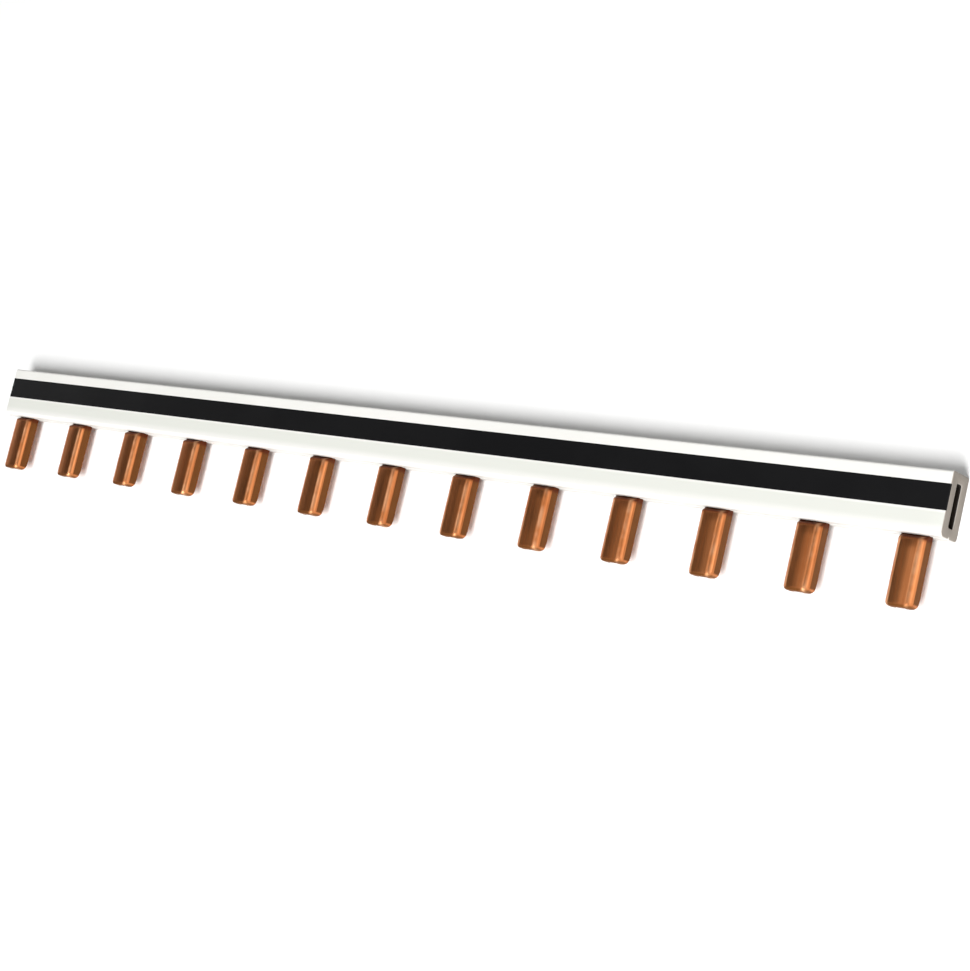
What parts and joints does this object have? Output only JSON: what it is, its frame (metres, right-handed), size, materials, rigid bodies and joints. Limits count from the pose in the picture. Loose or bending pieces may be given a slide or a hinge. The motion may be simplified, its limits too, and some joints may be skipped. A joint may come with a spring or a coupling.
{
  "type": "comb busbar",
  "caption": "Straight insulated comb busbar: a white sleeve with a black stripe and a row of gutter-shaped copper pins along one edge.",
  "frame": {"origin": "middle of the insulating profile's flat back face, behind the middle pin", "axes": "+X along the bar, -Y the way the pins point, +Z out of the face with the stripe; the bar lies on its back"},
  "size_m": [0.224, 0.0213, 0.0052],
  "materials": {
    "copper": "rolled copper, lightly tarnished",
    "white_plastic": "satin",
    "black_plastic": "satin"
  },
  "bodies": {
    "root": {"copper_comb": "copper", "insulating_profile": "white_plastic", "marking_stripe": "black_plastic"}
  },
  "joints": []
}
